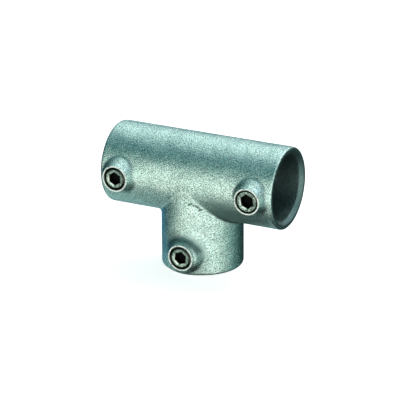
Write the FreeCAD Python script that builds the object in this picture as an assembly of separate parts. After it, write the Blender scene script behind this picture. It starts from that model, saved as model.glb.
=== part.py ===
import FreeCAD
import Part
import math
import os
from collections import namedtuple
from FreeCAD import Vector

# A clamp tee for round tube: one hollow casting with three sockets, and a set screw in each socket.
# The rail runs through along X and the post goes down along -Z. The origin is where their axes cross.
# All three set screws run in along +Y, so their key sockets face -Y. Sizes are in millimetres.

# The tube, and the room that a socket leaves round it
tube_diameter = 48.3
tube_clearance = 0.65

# The sleeves of the casting, measured from the crossing of the axes to each mouth
rail_reach = 69.8
post_reach = 69.1
sleeve_wall = 5.9
post_relief = 0.1
junction_blend = 2.6

# The rim of each mouth: rounded outside, where the casting was fettled, with a lead-in for the tube inside
left_rim_rounding = 2.4
right_rim_rounding = 1.2
post_rim_rounding = 1.8
lead_in = 2.6
rim_land = 0.4

# The bosses, which taper outwards as the pattern draws and are spot-faced at the top. The room is what
# the sleeve has between the foot of its boss and its mouth.
rail_boss_room = 3.45
post_boss_room = 3.05
boss_height = 6.8
boss_face_diameter = 20.0
boss_draft_degrees = 22.0
boss_blend = 3.0

# The set screws, with a parallel pipe thread of 19 turns to the inch, here as plain cylinders
thread_diameter = 16.66
thread_clearance = 0.05
countersink_depth = 0.42
screw_length = 12.0
screw_face_diameter = 13.0
screw_chamfer_depth = 1.1
tip_chamfer = 0.9
cup_diameter = 9.0
cup_point_degrees = 118.0
tip_gap = 0.15

# The hexagon socket of each screw
key_across_flats = 8.0
key_clearance = 0.1
key_depth = 5.8

bore_radius = tube_diameter / 2 + tube_clearance
rail_radius = bore_radius + sleeve_wall
post_radius = rail_radius - post_relief
boss_face = rail_radius + boss_height
thread_radius = thread_diameter / 2

# A socket is drawn along +X with its screw on the -Y side, and then turned about the Y axis to its place
Socket = namedtuple("Socket", "degrees radius reach rim_rounding boss_room screw backed_out key_degrees")
sockets = [
    Socket(0, rail_radius, rail_reach, right_rim_rounding, rail_boss_room, "right_set_screw", 0.1, 8),
    Socket(90, post_radius, post_reach, post_rim_rounding, post_boss_room, "post_set_screw", 0.8, 22),
    Socket(180, rail_radius, rail_reach, left_rim_rounding, rail_boss_room, "left_set_screw", 0.6, 2),
]

origin = Vector(0, 0, 0)
along_socket = Vector(1, 0, 0)
across_socket = Vector(0, 1, 0)
out_of_boss = Vector(0, -1, 0)


def turned_to(socket, shape):
    shape.rotate(origin, across_socket, socket.degrees)
    return shape


def turned_back(socket, point):
    return FreeCAD.Rotation(across_socket, -socket.degrees).multVec(point)


def boss_radius(depth):
    """The radius of a boss at a depth below its face."""
    return boss_face_diameter / 2 + depth * math.tan(math.radians(boss_draft_degrees))


def boss_place(socket):
    """How far along its socket a boss and its screw stand."""
    return socket.reach - socket.boss_room - boss_radius(boss_height)


def polygon_face(points):
    return Part.Face(Part.makePolygon(points + points[:1]))


def boss(socket):
    """A tapered boss, from inside the sleeve's wall to its spot face."""
    root = bore_radius
    height = boss_face - root
    foot = Vector(boss_place(socket), -root, 0)
    cone = Part.makeCone(boss_radius(height), boss_radius(0), height, foot, out_of_boss)
    return turned_to(socket, cone)


def bore(socket):
    """The hole that the tube slides into, with the lead-in at its mouth."""
    profile = [
        origin,
        Vector(0, bore_radius, 0),
        Vector(socket.reach - lead_in, bore_radius, 0),
        Vector(socket.reach, bore_radius + lead_in, 0),
        Vector(socket.reach, 0, 0),
    ]
    return turned_to(socket, polygon_face(profile).revolve(origin, along_socket, 360))


def screw_hole(socket):
    """The tapped hole through the boss, with the countersink at its face."""
    radius = thread_radius + thread_clearance
    sink = countersink_depth
    place = boss_place(socket)
    hole = Part.makeCylinder(radius, boss_face, Vector(place, 0, 0), out_of_boss)
    countersink = Part.makeCone(radius, radius + sink, sink, Vector(place, sink - boss_face, 0), out_of_boss)
    return turned_to(socket, hole.fuse(countersink))


def edges_where(shape, holds):
    """The edges of a shape whose every sampled point meets a test."""
    samples = [0.07, 0.21, 0.35, 0.5, 0.64, 0.79, 0.93]
    found = []
    for edge in shape.Edges:
        span = edge.LastParameter - edge.FirstParameter
        if all(holds(edge.valueAt(edge.FirstParameter + span * share)) for share in samples):
            found.append(edge)
    return found


def near(value, wanted):
    return abs(value - wanted) < 0.01


def on_junction(point):
    on_rail = near(math.hypot(point.y, point.z), rail_radius)
    on_post = near(math.hypot(point.x, point.y), post_radius)
    return on_rail and on_post


def on_boss_foot(socket, point):
    local = turned_back(socket, point)
    from_axis = math.hypot(local.x - boss_place(socket), local.z)
    depth = boss_face + local.y
    return near(from_axis, boss_radius(depth)) and depth > boss_height / 2


def rim(socket):
    """Points round the outer edge of a mouth: its rounding as three bevels, as wide as the wall has room for."""
    room = socket.radius - bore_radius - lead_in - rim_land
    rounding = min(socket.rim_rounding, room)
    corner = Vector(socket.reach - rounding, socket.radius - rounding, 0)
    turns = [math.radians(angle) for angle in (0, 30, 60, 90)]
    return [corner + Vector(rounding * math.sin(turn), rounding * math.cos(turn), 0) for turn in turns]


def turned_bar(profile, seam_degrees):
    """A solid bar turned along X, with the seam of its surface that far round from +Y."""
    bar = polygon_face(profile).revolve(origin, along_socket, 360)
    bar.rotate(origin, along_socket, seam_degrees)
    return bar


def rail_bar():
    """Both sleeves of the rail in one, with the seam underneath, where the post joins."""
    right, post, left = sockets
    left_rim = [Vector(-point.x, point.y, 0) for point in reversed(rim(left))]
    ends = [Vector(right.reach, 0, 0), Vector(-left.reach, 0, 0)]
    return turned_bar(left_rim + rim(right) + ends, -90)


def post_bar():
    post = sockets[1]
    ends = [Vector(post.reach, 0, 0), origin, Vector(0, post.radius, 0)]
    return turned_to(post, turned_bar(rim(post) + ends, 90))


def casting():
    body = rail_bar().fuse(post_bar()).removeSplitter()
    body = body.makeFillet(junction_blend, edges_where(body, on_junction))
    body = body.fuse([boss(socket) for socket in sockets]).removeSplitter()
    for socket in sockets:
        foot = edges_where(body, lambda point: on_boss_foot(socket, point))
        body = body.makeFillet(boss_blend, foot)
    for hollow in (bore, screw_hole):
        cutters = [hollow(socket) for socket in sockets]
        body = body.cut(cutters[0].fuse(cutters[1:]))
    return body.removeSplitter()


def key_socket(socket, mouth_y):
    """The hexagonal hole for the key, down from the outer end of a screw."""
    corner_radius = (key_across_flats + key_clearance) / math.sqrt(3)
    place = Vector(boss_place(socket), mouth_y, 0)
    corners = []
    for side in range(6):
        angle = math.radians(60 * side + 90 + socket.key_degrees)
        corners.append(place + Vector(corner_radius * math.cos(angle), 0, corner_radius * math.sin(angle)))
    return polygon_face(corners).extrude(Vector(0, key_depth, 0))


def set_screw(socket):
    """A set screw, with a hexagon socket in its outer end and a cup point that bites the tube."""
    tip_y = -(bore_radius + tip_gap + socket.backed_out)
    end_y = tip_y - screw_length
    cup_radius = cup_diameter / 2
    cup_depth = cup_radius / math.tan(math.radians(cup_point_degrees / 2))
    profile = [
        Vector(0, tip_y - cup_depth, 0),
        Vector(cup_radius, tip_y, 0),
        Vector(thread_radius - tip_chamfer, tip_y, 0),
        Vector(thread_radius, tip_y - tip_chamfer, 0),
        Vector(thread_radius, end_y + screw_chamfer_depth, 0),
        Vector(screw_face_diameter / 2, end_y, 0),
        Vector(0, end_y, 0),
    ]
    screw = polygon_face(profile).revolve(origin, across_socket, 360)
    screw.translate(Vector(boss_place(socket), 0, 0))
    screw = screw.cut(key_socket(socket, end_y))
    return turned_to(socket, screw)


os.makedirs("parts", exist_ok=True)
casting().exportStep("parts/tee_casting.step")
for each in sockets:
    set_screw(each).exportStep("parts/" + each.screw + ".step")
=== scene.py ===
import bmesh
import bpy
import math
from mathutils import Matrix, Vector, noise


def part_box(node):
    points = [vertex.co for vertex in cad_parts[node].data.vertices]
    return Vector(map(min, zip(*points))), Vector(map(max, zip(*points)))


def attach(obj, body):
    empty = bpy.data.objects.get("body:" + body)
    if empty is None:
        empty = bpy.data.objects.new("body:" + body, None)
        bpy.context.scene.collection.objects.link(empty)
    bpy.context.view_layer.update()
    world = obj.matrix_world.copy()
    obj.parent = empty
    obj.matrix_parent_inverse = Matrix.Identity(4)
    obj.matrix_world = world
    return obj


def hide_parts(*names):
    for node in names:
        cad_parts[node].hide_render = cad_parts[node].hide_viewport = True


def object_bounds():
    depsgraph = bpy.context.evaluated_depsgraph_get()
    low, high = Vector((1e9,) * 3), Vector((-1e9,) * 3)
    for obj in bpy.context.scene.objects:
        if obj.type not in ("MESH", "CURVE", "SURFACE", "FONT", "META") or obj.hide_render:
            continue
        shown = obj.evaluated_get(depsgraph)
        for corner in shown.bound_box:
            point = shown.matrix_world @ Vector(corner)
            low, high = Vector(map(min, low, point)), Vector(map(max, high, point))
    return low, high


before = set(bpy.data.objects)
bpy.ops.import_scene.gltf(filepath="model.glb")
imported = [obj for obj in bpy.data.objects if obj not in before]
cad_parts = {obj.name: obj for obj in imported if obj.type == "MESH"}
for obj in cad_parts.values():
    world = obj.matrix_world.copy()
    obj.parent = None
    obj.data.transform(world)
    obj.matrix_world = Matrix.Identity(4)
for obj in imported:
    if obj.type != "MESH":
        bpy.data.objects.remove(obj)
cad_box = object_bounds()
collection = bpy.context.scene.collection


# The tee casting: one piece of malleable iron, poured in a sand mould round cores that leave the three
# sockets open, and dipped whole in molten zinc. Its edges come out of the sand a little soft, and its
# skin is never quite even.
def new_material(name):
    """A new material, with its nodes, its links and its surface."""
    material = bpy.data.materials.new(name)
    material.use_nodes = True
    nodes = material.node_tree.nodes
    return material, nodes, material.node_tree.links, nodes["Principled BSDF"]


def object_places(nodes, links):
    """Places on the piece in millimetres, so that a texture's scale is in features per millimetre."""
    coordinates = nodes.new("ShaderNodeTexCoord")
    mapping = nodes.new("ShaderNodeMapping")
    mapping.inputs["Scale"].default_value = (1000, 1000, 1000)
    links.new(coordinates.outputs["Object"], mapping.inputs["Vector"])
    return mapping.outputs["Vector"]


def grain(nodes, links, places, scale, detail, roughness=0.5):
    """Fine or coarse unevenness in the metal, from 0 to 1."""
    texture = nodes.new("ShaderNodeTexNoise")
    texture.inputs["Scale"].default_value = scale
    texture.inputs["Detail"].default_value = detail
    texture.inputs["Roughness"].default_value = roughness
    links.new(places, texture.inputs["Vector"])
    return texture.outputs["Fac"]


def ramp(nodes, links, value, stops):
    """A colour ramp: each stop is a position and a grey or a colour."""
    node = nodes.new("ShaderNodeValToRGB")
    while len(node.color_ramp.elements) < len(stops):
        node.color_ramp.elements.new(0.5)
    for element, (position, colour) in zip(node.color_ramp.elements, stops):
        element.position = position
        shade = colour if isinstance(colour, tuple) else (colour, colour, colour)
        element.color = (*shade, 1)
    links.new(value, node.inputs["Fac"])
    return node.outputs["Color"]


def bumped(nodes, links, height, depth_mm, under=None):
    """Relief in the shading alone, over any relief under it."""
    bump = nodes.new("ShaderNodeBump")
    bump.inputs["Distance"].default_value = depth_mm / 1000
    bump.inputs["Strength"].default_value = 1.0
    links.new(height, bump.inputs["Height"])
    if under is not None:
        links.new(under, bump.inputs["Normal"])
    return bump.outputs["Normal"]


def blended(nodes, links, share, low, high, how="MIX"):
    """One colour at a share of 0 and another at 1; each of the three is a value or comes from a node."""
    mix = nodes.new("ShaderNodeMix")
    mix.data_type = "RGBA"
    mix.blend_type = how
    if isinstance(share, float):
        mix.inputs["Factor"].default_value = share
    else:
        links.new(share, mix.inputs["Factor"])
    for socket, value in (("A", low), ("B", high)):
        place = [each for each in mix.inputs if each.identifier == socket + "_Color"][0]
        if isinstance(value, tuple):
            place.default_value = (*value, 1)
        else:
            links.new(value, place)
    return [each for each in mix.outputs if each.identifier == "Result_Color"][0]


def measured_share(nodes, name):
    """A share from 0 to 1 that is kept at each point of the mesh."""
    attribute = nodes.new("ShaderNodeAttribute")
    attribute.attribute_name = name
    return attribute.outputs["Fac"]


light_zinc = (0.73, 0.96, 0.91)
grey_zinc = (0.61, 0.85, 0.81)
pit_grey = (0.10, 0.16, 0.16)
# painted shade: a dark blue-grey laid over the skin inside the sockets, on their ends, round the feet of
# the bosses, above the post's boss and under the right arm, where the skin is also made rougher
painted_shade_grey = (0.04, 0.10, 0.108)
painted_shade_roughness = (0.42, 0.42, 0.42)
cast_zinc, nodes, links, zinc = new_material("galvanised cast skin")
places = object_places(nodes, links)
sand = grain(nodes, links, places, scale=1.3, detail=2, roughness=0.65)
mottle = grain(nodes, links, places, scale=0.16, detail=3, roughness=0.6)
swell = grain(nodes, links, places, scale=0.055, detail=1)
pits = nodes.new("ShaderNodeTexVoronoi")
pits.feature = "F1"
pits.inputs["Scale"].default_value = 0.42
links.new(places, pits.inputs["Vector"])
pit_depth = ramp(nodes, links, pits.outputs["Distance"], [(0.0, 0.35), (0.13, 0.5), (0.21, 1.0)])
light_share = ramp(nodes, links, mottle, [(0.35, 0.0), (0.65, 1.0)])
shade = blended(nodes, links, light_share, grey_zinc, light_zinc)
speckle = ramp(nodes, links, sand, [(0.37, 0.40), (0.47, 0.90), (0.60, 1.0)])
shade = blended(nodes, links, 1.0, shade, speckle, "MULTIPLY")
shade = blended(nodes, links, pit_depth, pit_grey, shade)
scar_share = ramp(nodes, links, measured_share(nodes, "scar"), [(0.15, 0.0), (0.5, 1.0)])
shade = blended(nodes, links, scar_share, shade, pit_grey)
# painted shade: this share darkens the skin towards the grey above and raises its roughness
painted_shade = measured_share(nodes, "painted_shade")
painted_shade_share = ramp(nodes, links, painted_shade, [(0.0, 0.0), (1.0, 0.78)])
shade = blended(nodes, links, painted_shade_share, shade, painted_shade_grey)
links.new(shade, zinc.inputs["Base Color"])
zinc.inputs["Metallic"].default_value = 1.0
rough = ramp(nodes, links, mottle, [(0.3, 0.25), (0.7, 0.19)])
rough = blended(nodes, links, painted_shade, rough, painted_shade_roughness)
links.new(rough, zinc.inputs["Roughness"])
normal = bumped(nodes, links, swell, depth_mm=1.2)
normal = bumped(nodes, links, sand, depth_mm=0.42, under=normal)
normal = bumped(nodes, links, pit_depth, depth_mm=0.25, under=normal)
links.new(normal, zinc.inputs["Normal"])

bore_radius = 0.0248
boss_face = -0.0375
screw_places = {"left": (-0.0536, 0.0), "right": (0.0536, 0.0), "post": (0.0, -0.0533)}

# the skin's fineness, and how much the sand softens its edges
merge_distance = 0.000002
skin_voxel = 0.00052
softening_rounds = 6
softening_share = 0.5
faces_kept = 0.30


def copied_node(name, new_name):
    """A merged copy of a CAD node's mesh, as a new piece."""
    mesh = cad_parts[name].data.copy()
    mesh.name = new_name
    mesh.materials.clear()
    work = bmesh.new()
    work.from_mesh(mesh)
    bmesh.ops.remove_doubles(work, verts=work.verts, dist=merge_distance)
    work.to_mesh(mesh)
    work.free()
    for attribute in [each.name for each in mesh.attributes if each.name.startswith("custom_normal")]:
        mesh.attributes.remove(mesh.attributes[attribute])
    piece = bpy.data.objects.new(new_name, mesh)
    collection.objects.link(piece)
    return piece


def finished(piece):
    """Turns a piece's modifiers into plain mesh."""
    evaluated = piece.evaluated_get(bpy.context.evaluated_depsgraph_get())
    mesh = bpy.data.meshes.new_from_object(evaluated)
    piece.modifiers.clear()
    piece.data = mesh
    mesh.name = piece.name
    return piece


# a scar in the crotch, where the sand broke away: two short cracks along the saddle, their points in
# millimetres, and how far round them the mesh is finer
scars = [
    [(3.2, -30.4, -13.5), (5.8, -30.0, -12.6), (7.7, -29.6, -13.6), (11.4, -28.4, -15.4)],
    [(10.8, -28.6, -17.6), (11.7, -28.3, -16.8), (13.2, -27.6, -16.8)],
]
scar_width = 0.00075
scar_depth = 0.0004
scar_reach = 0.0020
scar_cuts = 3


def from_scar(place):
    """How far a place is from the nearest crack."""
    nearest = 1.0
    for line in scars:
        for start, end in zip(line, line[1:]):
            start, end = Vector(start) / 1000, Vector(end) / 1000
            span = end - start
            share = max(0.0, min(1.0, (place - start).dot(span) / span.length_squared))
            nearest = min(nearest, (place - start - span * share).length)
    return nearest


def scarred(place):
    """How deep in a scar a place is, from 0 beside it to 1 along its middle."""
    return max(0.0, 1 - from_scar(place) / scar_width)


def with_finer_scar(piece):
    """Cuts the mesh finer round the scar, so that the thin cracks keep their edges."""
    work = bmesh.new()
    work.from_mesh(piece.data)
    near = [edge for edge in work.edges
            if from_scar((edge.verts[0].co + edge.verts[1].co) / 2) < scar_reach]
    bmesh.ops.subdivide_edges(work, edges=near, cuts=scar_cuts, use_grid_fill=True)
    bmesh.ops.triangulate(work, faces=work.faces)
    work.to_mesh(piece.data)
    work.free()


# the unevenness of the skin: how many swells there are in a metre, and their height in millimetres
long_swells = 75
long_swell_height = 0.09
short_swells = 210
short_swell_height = 0.035


def uneven(place):
    """How far the skin stands out of its true shape, in metres: long swells and shorter ones."""
    long_swell = noise.noise(place * long_swells) * long_swell_height
    short_swell = noise.noise(place * short_swells + Vector((5, 1, 9))) * short_swell_height
    return (long_swell + short_swell) / 1000


def eased(low, high, value):
    """Rises smoothly from 0 at the first value to 1 at the second."""
    share = max(0.0, min(1.0, (value - low) / (high - low)))
    return share * share * (3 - 2 * share)


# the flare at the foot of the post's boss, which fades outwards and inwards, from none to full
flare_height = 0.0012
flare_outer_edge = (0.0215, 0.0125)
flare_inner_edge = (0.0104, 0.0118)


def flared(place):
    """Spreads the foot of the post's boss wider over its sleeve, outwards from the sleeve's axis only."""
    centre = screw_places["post"]
    away = math.hypot(place.x - centre[0], place.z - centre[1])
    raised = flare_height * eased(*flare_outer_edge, away) * eased(*flare_inner_edge, away)
    if place.y > 0 or raised == 0:
        return place
    return place + Vector((place.x, place.y, 0)).normalized() * raised


# how dark the painted shade makes the skin, and where it fades: beyond the mouths' end faces, round the
# feet of the bosses, and in the crotch between the post and the right arm
foot_shade = 0.22
post_top_shade = 0.75
crotch_shade = 0.62
unshaded_skin = (0.0291, 0.0298)
foot_inner_edge = (0.0102, 0.0122)
foot_outer_edges = {"left": (0.0160, 0.0128), "right": (0.0160, 0.0128), "post": (0.0185, 0.0140)}
above_foot = (-0.004, 0.008)
crotch_below = (0.001, -0.013)
crotch_sleeve = (0.0310, 0.0322)
crotch_near_post = (0.012, 0.024)
crotch_near_mouth = (0.069, 0.059)
crotch_in_front = (0.0, -0.014)


def shaded_foot(place, side):
    """How dark the painted shade is round the foot of a boss; above the post's boss it is darkest."""
    centre = screw_places[side]
    away = math.hypot(place.x - centre[0], place.z - centre[1])
    foot = eased(*foot_inner_edge, away) * eased(*foot_outer_edges[side], away)
    above = eased(*above_foot, place.z - centre[1])
    return foot * (foot_shade + (post_top_shade - foot_shade) * above * (side == "post"))


def shaded_crotch(place):
    """How dark the painted shade is on the lower front of the right arm, beside the post."""
    from_rail = math.hypot(place.y, place.z)
    dull = crotch_shade * eased(*crotch_below, place.z) * (1 - eased(*crotch_sleeve, from_rail))
    sideways = eased(*crotch_near_post, place.x) * eased(*crotch_near_mouth, place.x)
    return dull * (sideways * eased(*crotch_in_front, place.y))


def painted_shade_at(place):
    """How dark the painted shade on the skin is; the insides of the sockets and their ends are shaded all
    over.
    """
    from_rail = math.hypot(place.y, place.z)
    from_post = math.hypot(place.x, place.y) if place.z < 0 else 1.0
    inside = 1 - eased(*unshaded_skin, min(from_rail, from_post))
    if inside > 0 or place.y > 0:
        return inside
    return max(shaded_crotch(place), *(shaded_foot(place, side) for side in screw_places))


# the room for a machined seat: its hole, how far in it reaches, and what is skimmed off the boss
seat_hole = 0.0093
seat_inner_end = -0.0222
skimmed_radius = 0.0108
seat_proud = 0.00012


def room_for_seat(place, centre):
    """Widens the tapped hole and skims the boss a little, where a machined seat goes in."""
    if place.y > seat_inner_end:
        return place
    out = Vector((place.x - centre[0], 0, place.z - centre[1]))
    if out.length > skimmed_radius:
        return place
    if out.length < seat_hole:
        out = out.normalized() * seat_hole
    return Vector((centre[0] + out.x, max(place.y, boss_face + seat_proud), centre[1] + out.z))


# the walls of the bores stay true, and the skin outside is sunk a little, to leave its swells room
bore_margin = 0.0003
skin_sunk = 0.00004


def outside_bores(place):
    """Whether a place is on the skin outside, clear of every bore."""
    from_rail = math.hypot(place.y, place.z)
    from_post = math.hypot(place.x, place.y)
    clear = bore_radius + bore_margin
    return from_rail > clear and (from_post > clear or place.z > 0)


lowest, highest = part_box("tee_casting")


def inside_box(place):
    """Keeps the uneven skin inside the size of the CAD casting."""
    return [max(least, min(most, value)) for least, value, most in zip(lowest, place, highest)]


skin = copied_node("tee_casting", "tee_cast_skin")
fine = skin.modifiers.new("fine skin", "REMESH")
fine.mode = "VOXEL"
fine.voxel_size = skin_voxel
soft = skin.modifiers.new("soft edges", "SMOOTH")
soft.iterations = softening_rounds
soft.factor = softening_share
lean = skin.modifiers.new("lean", "DECIMATE")
lean.ratio = faces_kept
finished(skin)
with_finer_scar(skin)

outwards = [vertex.normal.copy() for vertex in skin.data.vertices]
places_now = [vertex.co.copy() for vertex in skin.data.vertices]
skin_places = []
for place, normal in zip(places_now, outwards):
    if outside_bores(place):
        place = flared(place + normal * (uneven(place) - skin_sunk - scar_depth * scarred(place)))
    for centre in screw_places.values():
        place = room_for_seat(place, centre)
    skin_places.extend(inside_box(place))
skin.data.vertices.foreach_set("co", skin_places)
skin.data.update()
# the scar's share, and the share of painted shade, kept at each point of the skin
for name, measured in (("scar", scarred), ("painted_shade", painted_shade_at)):
    shares = skin.data.attributes.new(name, "FLOAT", "POINT")
    shares.data.foreach_set("value", [measured(place) for place in places_now])
for polygon in skin.data.polygons:
    polygon.use_smooth = True
skin.data.materials.clear()
skin.data.materials.append(cast_zinc)
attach(skin, "casting")
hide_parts("tee_casting")


# The machined seats: the outer end of each boss is spot-faced flat and bright after the casting is
# dipped, then drilled, countersunk and tapped for its set screw.
turn_points = 72
strip_points = 7
flank_steepness = 1.5
crest_flat = 0.25
seam_distance = 0.000004
sharp_degrees = 28
thread_sizes = ("Crest Radius", "Thread Depth", "Pitch", "Tip", "Tip Radius", "Tip Slope", "Head",
                "Head Radius", "Head Slope", "Turned", "Side")


def calculated(tree, operation, *values):
    """One sum in a node tree; each value is a number or comes from a node."""
    node = tree.nodes.new("ShaderNodeMath")
    node.operation = operation
    for socket, value in zip(node.inputs, values):
        if isinstance(value, (int, float)):
            socket.default_value = value
        else:
            tree.links.new(value, socket)
    return node.outputs[0]


def named_inputs(tree):
    """Gives the thread's tree its inputs and its output by name."""
    face = tree.interface
    face.new_socket("Geometry", in_out="INPUT", socket_type="NodeSocketGeometry")
    for name in thread_sizes:
        face.new_socket(name, in_out="INPUT", socket_type="NodeSocketFloat")
    face.new_socket("Place", in_out="INPUT", socket_type="NodeSocketVector")
    face.new_socket("Metal", in_out="INPUT", socket_type="NodeSocketMaterial")
    face.new_socket("Geometry", in_out="OUTPUT", socket_type="NodeSocketGeometry")
    return tree.nodes.new("NodeGroupInput").outputs


def flat_strip(tree, turns):
    """A flat strip to be wound, with how many turns along it and how far across it each point lies."""
    strip = tree.nodes.new("GeometryNodeMeshGrid")
    strip.inputs["Size X"].default_value = 1
    strip.inputs["Size Y"].default_value = 1
    strip.inputs["Vertices Y"].default_value = strip_points
    points = calculated(tree, "MULTIPLY_ADD", turns, turn_points, 1)
    tree.links.new(calculated(tree, "ROUND", points), strip.inputs["Vertices X"])
    where = tree.nodes.new("ShaderNodeSeparateXYZ")
    tree.links.new(tree.nodes.new("GeometryNodeInputPosition").outputs[0], where.inputs[0])
    along = calculated(tree, "MULTIPLY", calculated(tree, "ADD", where.outputs["X"], 0.5), turns)
    across = calculated(tree, "ADD", where.outputs["Y"], 0.5)
    return strip.outputs["Mesh"], along, across


def end_cone(tree, given, end, from_end):
    """The radius that an end is turned back to, at a distance from that end."""
    rise = calculated(tree, "MULTIPLY", from_end, given[end + " Slope"])
    return calculated(tree, "MULTIPLY_ADD", given[end + " Radius"], given["Side"], rise)


def cut_radius(tree, given, across, y):
    """The thread's form across one pitch, crest, flank and root, kept within the cones of its ends."""
    flank = calculated(tree, "ABSOLUTE", calculated(tree, "MULTIPLY_ADD", across, 2, -1))
    cut = calculated(tree, "MULTIPLY_ADD", flank, flank_steepness, -crest_flat)
    cut = calculated(tree, "MAXIMUM", calculated(tree, "MINIMUM", cut, 1), 0)
    signed = calculated(tree, "MULTIPLY", given["Crest Radius"], given["Side"])
    signed = calculated(tree, "SUBTRACT", signed, calculated(tree, "MULTIPLY", cut, given["Thread Depth"]))
    tip_cone = end_cone(tree, given, "Tip", calculated(tree, "SUBTRACT", given["Tip"], y))
    head_cone = end_cone(tree, given, "Head", calculated(tree, "SUBTRACT", y, given["Head"]))
    signed = calculated(tree, "MINIMUM", signed, calculated(tree, "MINIMUM", tip_cone, head_cone))
    return calculated(tree, "MULTIPLY", signed, given["Side"])


def wound(tree, given, strip, put):
    """The strip with its points put in place, facing out of the metal, with its turns merged."""
    links = tree.links
    moved = tree.nodes.new("ShaderNodeVectorMath")
    moved.operation = "ADD"
    links.new(put, moved.inputs[0])
    links.new(given["Place"], moved.inputs[1])
    wind = tree.nodes.new("GeometryNodeSetPosition")
    links.new(strip, wind.inputs["Geometry"])
    links.new(moved.outputs[0], wind.inputs["Position"])
    inside = tree.nodes.new("GeometryNodeFlipFaces")
    links.new(wind.outputs[0], inside.inputs["Mesh"])
    links.new(calculated(tree, "LESS_THAN", given["Side"], 0), inside.inputs["Selection"])
    weld = tree.nodes.new("GeometryNodeMergeByDistance")
    weld.inputs["Distance"].default_value = seam_distance
    links.new(inside.outputs[0], weld.inputs["Geometry"])
    return weld.outputs[0]


def thread_tree():
    """A screw thread: a strip one pitch wide, wound along the Y axis, both ends turned back to a cone."""
    tree = bpy.data.node_groups.new("cut thread", "GeometryNodeTree")
    given = named_inputs(tree)
    links = tree.links
    length = calculated(tree, "SUBTRACT", given["Tip"], given["Head"])
    pitches = calculated(tree, "CEIL", calculated(tree, "DIVIDE", length, given["Pitch"]))
    strip, along, across = flat_strip(tree, calculated(tree, "ADD", pitches, 2))
    pitches_on = calculated(tree, "SUBTRACT", calculated(tree, "ADD", along, across), 1)
    advance = calculated(tree, "MULTIPLY", pitches_on, given["Pitch"])
    free_y = calculated(tree, "SUBTRACT", given["Tip"], advance)
    y = calculated(tree, "MAXIMUM", calculated(tree, "MINIMUM", free_y, given["Tip"]), given["Head"])
    radius = cut_radius(tree, given, across, y)
    angle = calculated(tree, "MULTIPLY_ADD", along, math.tau, given["Turned"])
    put = tree.nodes.new("ShaderNodeCombineXYZ")
    links.new(calculated(tree, "MULTIPLY", radius, calculated(tree, "COSINE", angle)), put.inputs["X"])
    links.new(y, put.inputs["Y"])
    links.new(calculated(tree, "MULTIPLY", radius, calculated(tree, "SINE", angle)), put.inputs["Z"])
    real = tree.nodes.new("GeometryNodeRealizeInstances")
    links.new(wound(tree, given, strip, put.outputs[0]), real.inputs[0])
    metal = tree.nodes.new("GeometryNodeSetMaterial")
    links.new(real.outputs[0], metal.inputs["Geometry"])
    links.new(given["Metal"], metal.inputs["Material"])
    links.new(metal.outputs[0], tree.nodes.new("NodeGroupOutput").inputs[0])
    return tree


cut_thread = thread_tree()


def thread(name, **sizes):
    """The mesh of one thread, from the tree's named inputs."""
    piece = bpy.data.objects.new(name, bpy.data.meshes.new(name))
    collection.objects.link(piece)
    modifier = piece.modifiers.new("thread", "NODES")
    modifier.node_group = cut_thread
    for socket in cut_thread.interface.items_tree:
        if socket.in_out == "INPUT" and socket.name in sizes:
            modifier[socket.identifier] = sizes[socket.name]
    mesh = finished(piece).data
    bpy.data.objects.remove(piece)
    return mesh


def turned_rings(rings, start_angle, centre):
    """Faces between rings round the Y axis; each ring is a height, and a radius, a list of radii or 0."""
    work = bmesh.new()
    loops = []
    for y, radius in rings:
        if radius == 0:
            loops.append([work.verts.new((centre[0], y, centre[1]))] * turn_points)
            continue
        radii = radius if isinstance(radius, list) else [radius] * turn_points
        loop = []
        for index, each in enumerate(radii):
            angle = start_angle + math.tau * index / turn_points
            x = centre[0] + each * math.cos(angle)
            z = centre[1] + each * math.sin(angle)
            loop.append(work.verts.new((x, y, z)))
        loops.append(loop)
    for low, high in zip(loops, loops[1:]):
        for index in range(turn_points):
            after = (index + 1) % turn_points
            corners = [low[index], low[after], high[after], high[index]]
            corners = [each for number, each in enumerate(corners) if each not in corners[:number]]
            work.faces.new(corners)
    mesh = bpy.data.meshes.new("turned")
    work.to_mesh(mesh)
    work.free()
    return mesh


def joined(name, parts):
    """One closed piece from several meshes, each with its own material."""
    work = bmesh.new()
    made = bpy.data.meshes.new(name)
    for number, (mesh, material) in enumerate(parts):
        first = len(work.faces)
        work.from_mesh(mesh)
        work.faces.ensure_lookup_table()
        for face in work.faces[first:]:
            face.material_index = number
            face.smooth = True
        made.materials.append(material)
    bmesh.ops.remove_doubles(work, verts=work.verts, dist=seam_distance)
    bmesh.ops.recalc_face_normals(work, faces=work.faces)
    work.to_mesh(made)
    work.free()
    made.set_sharp_from_angle(angle=math.radians(sharp_degrees))
    piece = bpy.data.objects.new(name, made)
    collection.objects.link(piece)
    return piece


def seat_metal(name, centre):
    """Bright iron, with the fine rings that the spot facer leaves round the hole."""
    material, nodes, links, metal = new_material(name)
    places = object_places(nodes, links)
    middle = nodes.new("ShaderNodeMapping")
    middle.inputs["Location"].default_value = (-1000 * centre[0], 0, -1000 * centre[1])
    links.new(places, middle.inputs["Vector"])
    rings = nodes.new("ShaderNodeTexWave")
    rings.wave_type = "RINGS"
    rings.rings_direction = "Y"
    rings.inputs["Scale"].default_value = 1.1
    rings.inputs["Distortion"].default_value = 1.5
    rings.inputs["Detail"].default_value = 1
    links.new(middle.outputs[0], rings.inputs["Vector"])
    stain = grain(nodes, links, places, scale=0.9, detail=2)
    bright = ramp(nodes, links, stain, [(0.37, (0.30, 0.40, 0.37)), (0.46, (0.93, 1.0, 0.97))])
    links.new(bright, metal.inputs["Base Color"])
    metal.inputs["Metallic"].default_value = 0.5
    metal.inputs["Roughness"].default_value = 0.45
    links.new(bumped(nodes, links, rings.outputs["Fac"], depth_mm=0.02), metal.inputs["Normal"])
    return material


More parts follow.
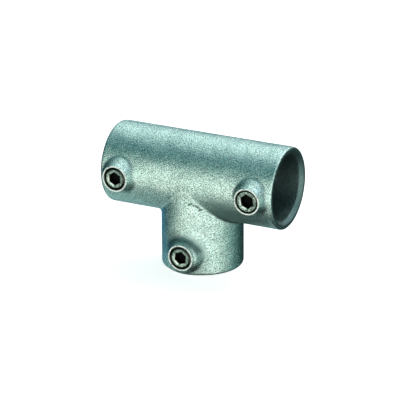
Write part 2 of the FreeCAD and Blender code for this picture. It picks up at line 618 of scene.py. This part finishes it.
# painted shade: the threads, in the casting and on the screws, are near black, standing in for the shade in
# the narrow gap round each screw
shaded_thread, nodes, links, dark = new_material("thread darkened as painted shade")
places = object_places(nodes, links)
thread_mottle = grain(nodes, links, places, scale=0.5, detail=2)
shaded_thread_tones = ramp(nodes, links, thread_mottle, [(0.4, (0.016, 0.024, 0.020)), (0.7, (0.06, 0.085, 0.072))])
links.new(shaded_thread_tones, dark.inputs["Base Color"])
dark.inputs["Metallic"].default_value = 0.8
dark.inputs["Roughness"].default_value = 0.30

pitch = 0.0254 / 19
seat_end = -0.0262
seat_outside = 0.00998
sink_radius = 0.00896
for side, centre in screw_places.items():
    tapped = thread(side + "_tapping", **{
        "Crest Radius": 0.00837, "Thread Depth": 0.00033, "Pitch": pitch, "Tip": seat_end,
        "Tip Radius": sink_radius, "Tip Slope": 1.0, "Head": boss_face, "Head Radius": sink_radius,
        "Head Slope": 0.9, "Turned": 0.0, "Side": -1.0, "Place": (centre[0], 0, centre[1]), "Metal": shaded_thread})
    outline = [(seat_end, sink_radius), (seat_end, seat_outside),
               (boss_face, seat_outside), (boss_face, sink_radius)]
    ring = turned_rings(outline, 0, centre)
    bright_iron = seat_metal(side + " spot-faced iron", centre)
    seat = joined(side + "_spot_faced_seat", [(ring, bright_iron), (tapped, shaded_thread)])
    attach(seat, "casting")


# The set screws: steel, turned and threaded, with a cup point that bites what it clamps, and a hexagon
# socket for the key broached in the outer end. Their threads and key sockets are darkened as painted shade,
# the lead-in round each socket is lightened as a painted highlight, and the outer face is worn.
worn, nodes, links, steel = new_material("screw face worn bright")
places = object_places(nodes, links)
wear = grain(nodes, links, places, scale=0.9, detail=3, roughness=0.7)
worn_tones = [(0.37, (0.04, 0.07, 0.06)), (0.50, (0.17, 0.25, 0.22)), (0.62, (0.48, 0.61, 0.54))]
links.new(ramp(nodes, links, wear, worn_tones), steel.inputs["Base Color"])
steel.inputs["Metallic"].default_value = 1.0
steel.inputs["Roughness"].default_value = 0.36
links.new(bumped(nodes, links, wear, depth_mm=0.10), steel.inputs["Normal"])

# painted highlight: the lead-in round each key socket is lighter than the face, standing in for the light
# its slope catches
lead_highlight, nodes, links, edge = new_material("lead-in with painted highlight")
edge.inputs["Base Color"].default_value = (0.54, 0.65, 0.59, 1)
edge.inputs["Metallic"].default_value = 1.0
edge.inputs["Roughness"].default_value = 0.34

# painted shade: the key socket is near black and barely glossy, standing in for the shade in the deep hole
shaded_socket, nodes, links, black = new_material("key socket darkened as painted shade")
black.inputs["Base Color"].default_value = (0.004, 0.004, 0.004, 1)
black.inputs["Roughness"].default_value = 0.7
black.inputs["Specular IOR Level"].default_value = 0.1

thread_radius = 0.00833
thread_depth = 0.00086
head_slope = 1.66
tip_radius = 0.00743
cup_radius = 0.0045
cup_depth = 0.0026
lead_depth = 0.00045
key_depth = 0.0058
drill_radius = 0.0039
drill_point = 0.0022
# each screw: how far round its key socket is turned, the radius of its flat outer face, half the width
# of its key socket, and the radius of the lead-in that keys have worn
screws = {
    "left": (92, 0.0067, 0.00445, 0.00560),
    "right": (98, 0.0077, 0.00480, 0.00590),
    "post": (22, 0.0067, 0.00440, 0.00560),
}


def hexagon_radii(half_width):
    """The radius of a hexagon at each point of a turn."""
    radii = []
    for index in range(turn_points):
        from_flat = (360 * index / turn_points) % 60 - 30
        radii.append(half_width / math.cos(math.radians(from_flat)))
    return radii


for side, (turned_degrees, face_radius, key_radius, lead_radius) in screws.items():
    centre = screw_places[side]
    low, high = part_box(side + "_set_screw")
    tip, head = high.y, low.y
    turned = math.radians(turned_degrees)
    hexagon = hexagon_radii(key_radius)
    outside = thread(side + "_thread", **{
        "Crest Radius": thread_radius, "Thread Depth": thread_depth, "Pitch": pitch, "Tip": tip,
        "Tip Radius": tip_radius, "Tip Slope": 1.0, "Head": head, "Head Radius": face_radius,
        "Head Slope": head_slope, "Turned": turned, "Side": 1.0, "Place": (centre[0], 0, centre[1]),
        "Metal": shaded_thread})
    point = turned_rings([(tip - cup_depth, 0), (tip, cup_radius), (tip, tip_radius)], turned, centre)
    face = turned_rings([(head, face_radius), (head, lead_radius)], turned, centre)
    lead_in = head + lead_depth
    floor_y = head + key_depth
    lead = turned_rings([(head, lead_radius), (lead_in, hexagon)], turned, centre)
    key_hole = [(lead_in, hexagon), (floor_y, hexagon), (floor_y, drill_radius), (floor_y + drill_point, 0)]
    socket = turned_rings(key_hole, turned, centre)
    parts = [(outside, shaded_thread), (point, worn), (face, worn), (lead, lead_highlight), (socket, shaded_socket)]
    screw = joined(side + "_threaded_screw", parts)
    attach(screw, side + "_set_screw")
    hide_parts(side + "_set_screw")


# The studio: a pale floor, white behind, and soft patches of light over and behind the fitting, level
# with it, and low down, where a pale table would send light back up. The rest of the room is dim, which
# gives the metal its dark bands.
def facing(azimuth, elevation):
    """The direction of a place in the room; azimuth 0 is in front of the fitting and 90 at its right."""
    turn, rise = math.radians(azimuth), math.radians(elevation)
    return Vector((math.sin(turn) * math.cos(rise), -math.cos(turn) * math.cos(rise), math.sin(rise)))


dim_colour = (0.004, 0.010, 0.012)
# each soft light: its azimuth and elevation in degrees, how tightly it is gathered, and its colour
lights_above = [
    (150, 50, 12, (2.6, 2.6, 2.6)),
    (-165, 46, 12, (1.2, 1.1, 1.0)),
    (-120, 62, 12, (0.35, 0.55, 0.55)),
    (105, 50, 14, (0.35, 0.6, 0.7)),
    (-150, 24, 14, (0.25, 0.5, 0.55)),
    (-50, 55, 6, (0.02, 0.13, 0.15)),
    (-10, 24, 12, (0.05, 0.3, 0.25)),
]
lights_level = [
    (-8, 0, 12, (1.8, 1.65, 1.5)),
    (30, 0, 14, (1.2, 1.15, 1.15)),
    (60, 0, 14, (2.2, 2.2, 2.0)),
    (118, 4, 14, (0.12, 0.22, 0.22)),
]
lights_off_table = [
    (-26, -23, 15, (1.22, 1.26, 1.12)),
    (-44, -50, 26, (0.07, 0.17, 0.165)),
    (-138, -48, 18, (0.36, 0.46, 0.43)),
    (-132, -21, 13, (0.03, 0.2, 0.34)),
    (96, -20, 18, (0.3, 0.35, 0.3)),
    (48, -24, 16, (0.75, 0.8, 0.72)),
    (114, -22, 30, (0.14, 0.48, 0.45)),
    (-84, -22, 24, (0.0, 0.06, 0.055)),
]
world = bpy.data.worlds.new("studio")
bpy.context.scene.world = world
world.use_nodes = True
nodes, links = world.node_tree.nodes, world.node_tree.links
nodes.clear()
looking = nodes.new("ShaderNodeTexCoord").outputs["Generated"]


def soft_light(azimuth, elevation, focus, colour, so_far):
    """Adds one soft patch of light to the room, brightest in the middle and fading evenly outwards."""
    near = nodes.new("ShaderNodeVectorMath")
    near.operation = "DOT_PRODUCT"
    near.inputs[1].default_value = facing(azimuth, elevation)
    links.new(looking, near.inputs[0])
    fade = nodes.new("ShaderNodeMath")
    fade.operation = "MULTIPLY_ADD"
    links.new(near.outputs["Value"], fade.inputs[0])
    fade.inputs[1].default_value = focus
    fade.inputs[2].default_value = -focus
    glow = nodes.new("ShaderNodeMath")
    glow.operation = "EXPONENT"
    links.new(fade.outputs[0], glow.inputs[0])
    tint = nodes.new("ShaderNodeVectorMath")
    tint.operation = "SCALE"
    tint.inputs[0].default_value = colour
    links.new(glow.outputs[0], tint.inputs["Scale"])
    total = nodes.new("ShaderNodeVectorMath")
    total.operation = "ADD"
    links.new(so_far, total.inputs[0])
    links.new(tint.outputs[0], total.inputs[1])
    return total.outputs[0]


dim_room = nodes.new("ShaderNodeCombineXYZ")
for index, value in enumerate(dim_colour):
    dim_room.inputs[index].default_value = value
light = dim_room.outputs[0]
for azimuth, elevation, focus, colour in lights_above + lights_level + lights_off_table:
    light = soft_light(azimuth, elevation, focus, colour, light)
room = nodes.new("ShaderNodeBackground")
links.new(light, room.inputs["Color"])
white = nodes.new("ShaderNodeBackground")
white.inputs["Color"].default_value = (1, 1, 1, 1)
path = nodes.new("ShaderNodeLightPath")
seen = nodes.new("ShaderNodeMixShader")
links.new(path.outputs["Is Camera Ray"], seen.inputs["Fac"])
links.new(room.outputs[0], seen.inputs[1])
links.new(white.outputs[0], seen.inputs[2])
out = nodes.new("ShaderNodeOutputWorld")
links.new(seen.outputs[0], out.inputs["Surface"])


def level_sheet(name, left, right, near, far, height):
    """A flat rectangle that faces up."""
    mesh = bpy.data.meshes.new(name)
    corners = [(left, near, height), (right, near, height), (right, far, height), (left, far, height)]
    mesh.from_pydata(corners, [], [(0, 1, 2, 3)])
    sheet = bpy.data.objects.new(name, mesh)
    collection.objects.link(sheet)
    return sheet


# the floor glows a little for the camera alone; the metal mirrors the room's low lights instead of it,
# and it doesn't stand in their way
floor_reach = 4.0
floor_glow = 0.7
floor_z = cad_box[0].z
floor = level_sheet("floor", -floor_reach, floor_reach, -floor_reach, floor_reach, floor_z)
pale, nodes, links, surface = new_material("pale floor")
surface.inputs["Base Color"].default_value = (0.9, 0.9, 0.9, 1)
surface.inputs["Roughness"].default_value = 1.0
surface.inputs["Specular IOR Level"].default_value = 0.0
surface.inputs["Emission Color"].default_value = (1, 1, 1, 1)
path = nodes.new("ShaderNodeLightPath")
lift = nodes.new("ShaderNodeMath")
lift.operation = "MULTIPLY"
lift.inputs[1].default_value = floor_glow
links.new(path.outputs["Is Camera Ray"], lift.inputs[0])
links.new(lift.outputs[0], surface.inputs["Emission Strength"])
floor.data.materials.append(pale)
floor.visible_glossy = False
floor.visible_shadow = False

# a small glowing card below the left arm, which only that arm mirrors; the camera doesn't see it
card_drop = 0.036
card_left, card_right = -0.160, -0.064
card_near, card_far = -0.055, 0.008
card = level_sheet("card", card_left, card_right, card_near, card_far, floor_z - card_drop)
pale_card, nodes, links, surface = new_material("pale card")
surface.inputs["Base Color"].default_value = (0, 0, 0, 1)
surface.inputs["Emission Color"].default_value = (0.42, 0.62, 0.58, 1)
surface.inputs["Emission Strength"].default_value = 1.0
card.data.materials.append(pale_card)
card.visible_camera = False
card.visible_shadow = False


# The camera: it stands at the photograph's viewing angle, to the right of the fitting and a little above
# it, with a long lens. Its angles are in degrees, and it is turned a trace out of level.
view_azimuth = 26.564
view_elevation = 21.459
view_tilt = -0.354
view_distance = 1.85306
view_middle = Vector((-0.002171, 0, -0.0211))
camera = bpy.data.objects.new("camera", bpy.data.cameras.new("camera"))
collection.objects.link(camera)
back = facing(view_azimuth, view_elevation)
right = Vector((math.cos(math.radians(view_azimuth)), math.sin(math.radians(view_azimuth)), 0))
up = back.cross(right)
tilt = math.radians(view_tilt)
axes = (math.cos(tilt) * right + math.sin(tilt) * up, math.cos(tilt) * up - math.sin(tilt) * right, back)
place = Matrix.Identity(4)
for column, axis in enumerate(axes):
    for row in range(3):
        place[row][column] = axis[row]
place.translation = view_middle + back * view_distance
camera.matrix_world = place
camera.data.sensor_width = 36
camera.data.lens = 225
bpy.context.scene.camera = camera
bpy.context.scene.view_settings.view_transform = "Standard"
